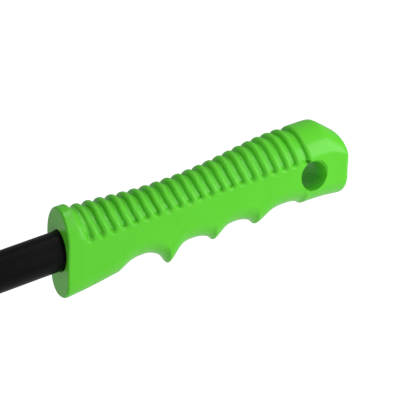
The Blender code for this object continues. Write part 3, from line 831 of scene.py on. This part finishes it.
def make_bolt(name):
    """A hexagon-head bolt with a washer face under its head and a rolled thread on its far half."""
    rows = [ring_y(r, SEAT + BOLT_HEAD) for r in (0.0006, 0.0035)]
    rows += chamfered(SEAT + BOLT_HEAD, 1)[::-1]
    under_head = [(hexagon(), 0.0004), (HEX_FLAT * 0.98, 0.0004), (HEX_FLAT * 0.96, 0), (BOLT_R + 0.0003, 0),
                  (BOLT_R, -0.0003)]
    rows += [ring_y(r, SEAT + y) for r, y in under_head]
    start = -SOCKET_R + 0.004
    end = -(SEAT + NUT_HEIGHT + NUT_COLLAR + BOLT_TAIL)
    angle = np.arange(TURN_STEPS) / TURN_STEPS
    for y in np.arange(start, end + 0.0006, -THREAD_PITCH / 8):
        wave = np.abs(((y / THREAD_PITCH + angle) % 1) * 2 - 1)
        depth = THREAD_DEPTH * min(1, (start - y) / THREAD_PITCH) * np.clip(wave * 1.3 - 0.15, 0, 1)
        rows.append(ring_y(BOLT_R - depth, y))
    rows += [ring_y(BOLT_R - THREAD_DEPTH, end + 0.0004), ring_y(BOLT_R - 0.001, end), ring_y(0.0005, end)]
    return grid_mesh(name, rows, cap_start=True, cap_end=True)


def make_lock_nut(name):
    """A hexagon nut with a turned collar that holds a nylon ring."""
    low = -SEAT
    high = low - NUT_HEIGHT
    collar = high - NUT_COLLAR
    corner_r = HEX_FLAT / math.cos(math.radians(30))
    rows = [ring_y(BOLT_R + 0.00005, low - 0.0005), ring_y(BOLT_R + 0.0005, low)]
    rows += chamfered(low, 1)[::-1]
    rows += chamfered(high, -1)
    turned = [(corner_r * 0.80, high - 0.0001), (corner_r * 0.79, high - NUT_COLLAR * 0.6),
              (corner_r * 0.75, high - NUT_COLLAR * 0.9), (corner_r * 0.68, collar),
              (corner_r * 0.66, collar + 0.0005), (BOLT_R + 0.0004, collar + 0.0006),
              (BOLT_R + 0.00005, collar + 0.0010)]
    rows += [ring_y(r, y) for r, y in turned]
    mesh = grid_mesh(name, rows, wrap_rows=True)
    for face in mesh.polygons:
        radius = math.hypot(face.center.x, face.center.z)
        face.material_index = int(radius < corner_r * 0.665 and face.center.y < high - NUT_COLLAR * 0.4)
    return mesh


def build_bolts():
    """The cross bolts, whose heads face the front on both sides, with their washers and lock nuts."""
    washer = rounded([(BOLT_R + GAP, 0), (WASHER_R, 0), (WASHER_R, WASHER_THICK), (BOLT_R + GAP, WASHER_THICK)],
                     0.0003)
    for tag, turn in SIDES.items():
        flip = Matrix.Rotation(math.pi if tag == "right" else 0, 4, "X")
        place = handle_frame(turn) @ Matrix.Translation((BOLT_U, 0, 0)) @ flip
        add_piece("bolt_" + tag, make_bolt("bolt"), [ZINC], ["handle_bolt_" + tag], place, 32)
        add_piece("nut_" + tag, make_lock_nut("nut"), [ZINC, NYLON], ["lock_nut_" + tag], place, 32)
        for name, y in (("head_washer_", SOCKET_R + GAP), ("nut_washer_", -SOCKET_R - GAP - WASHER_THICK)):
            mesh = lathe("washer", washer, 64, "Y")
            add_piece("fine_" + name + tag, mesh, [ZINC], [name + tag],
                      place @ Matrix.Translation((0, y, 0)), 40)


# ---------------------------------------------------------------- stage

def build_stage():
    """A plain pale floor, which looks brighter than the light that it gives the object."""
    floor = bpy.data.meshes.new("floor")
    corners = [(x * FLOOR_SIZE, y * FLOOR_SIZE, 0) for x, y in ((-1, -1), (1, -1), (1, 1), (-1, 1))]
    floor.from_pydata(corners, [], [(0, 1, 2, 3)])
    mat = bpy.data.materials.new("pale_floor")
    mat.use_nodes = True
    tree = mat.node_tree
    tree.nodes.clear()
    seen = tree.nodes.new("ShaderNodeLightPath").outputs["Is Camera Ray"]
    paint = tree.nodes.new("ShaderNodeBsdfDiffuse")
    paint.inputs["Color"].default_value = (0.85, 0.85, 0.85, 1)
    glow = tree.nodes.new("ShaderNodeEmission")
    tree.links.new(remap(mat, seen, 0, 1, *FLOOR_GLOW), glow.inputs["Strength"])
    both = tree.nodes.new("ShaderNodeAddShader")
    out = tree.nodes.new("ShaderNodeOutputMaterial")
    tree.links.new(paint.outputs[0], both.inputs[0])
    tree.links.new(glow.outputs[0], both.inputs[1])
    tree.links.new(both.outputs[0], out.inputs["Surface"])
    floor.materials.append(mat)
    obj = bpy.data.objects.new("floor", floor)
    bpy.context.scene.collection.objects.link(obj)


def add_area(name, place, size, power):
    """A rectangular light that faces the right grip."""
    light = bpy.data.lights.new(name, "AREA")
    light.shape = "RECTANGLE"
    light.size, light.size_y = size
    light.energy = power
    obj = bpy.data.objects.new(name, light)
    obj.location = place
    obj.rotation_euler = (Vector(LIGHT_AIM) - Vector(place)).to_track_quat("-Z", "Y").to_euler()
    bpy.context.scene.collection.objects.link(obj)


def build_camera():
    along, across, up = CAMERA_AIM
    target = handle_frame(0) @ Vector((along + GRIP_START, across, up))
    turn = math.radians(CAMERA_TURN)
    height = math.radians(CAMERA_HEIGHT)
    back = Vector((-math.sin(turn) * math.cos(height), -math.cos(turn) * math.cos(height), math.sin(height)))
    data = bpy.data.cameras.new("camera")
    data.lens = CAMERA_LENS
    data.sensor_width = 36
    data.clip_end = 100
    camera = bpy.data.objects.new("camera", data)
    camera.location = target + back * CAMERA_DISTANCE
    camera.rotation_euler = back.to_track_quat("Z", "Y").to_euler()
    bpy.context.scene.collection.objects.link(camera)
    bpy.context.scene.camera = camera


def build_lights():
    """An even studio light from all round, a main panel from the front right and three weaker lights."""
    world = bpy.data.worlds.new("studio")
    world.use_nodes = True
    world.node_tree.nodes["Background"].inputs["Color"].default_value = (1, 1, 1, 1)
    nodes, links = world.node_tree.nodes, world.node_tree.links
    seen = nodes.new("ShaderNodeMapRange")
    seen.inputs["To Min"].default_value = WORLD_LIGHT
    links.new(nodes.new("ShaderNodeLightPath").outputs["Is Camera Ray"], seen.inputs["Value"])
    links.new(seen.outputs["Result"], nodes["Background"].inputs["Strength"])
    bpy.context.scene.world = world
    add_area("front_panel", (0.52, -0.42, 0.56), (0.40, 0.40), 2.15)
    add_area("top_front", (0.27, -0.34, 0.90), (0.08, 0.40), 0.65)
    add_area("top_strip", (0.19, 0.00, 1.05), (0.25, 0.03), 0.4)
    add_area("left_box", (-0.55, -0.20, 0.30), (0.40, 0.40), 0.9)
    bpy.context.scene.view_settings.view_transform = "Standard"


def main():
    build_stage()
    build_camera()
    build_lights()
    build_grips()
    build_body()
    build_cap_weld()
    build_plug_welds()
    build_sockets()
    build_handle_tubes()
    build_gussets()
    build_bolts()
    for tag in SIDES:
        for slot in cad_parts["handle_end_plug_" + tag].material_slots:
            slot.material = BLACK_PLASTIC


main()
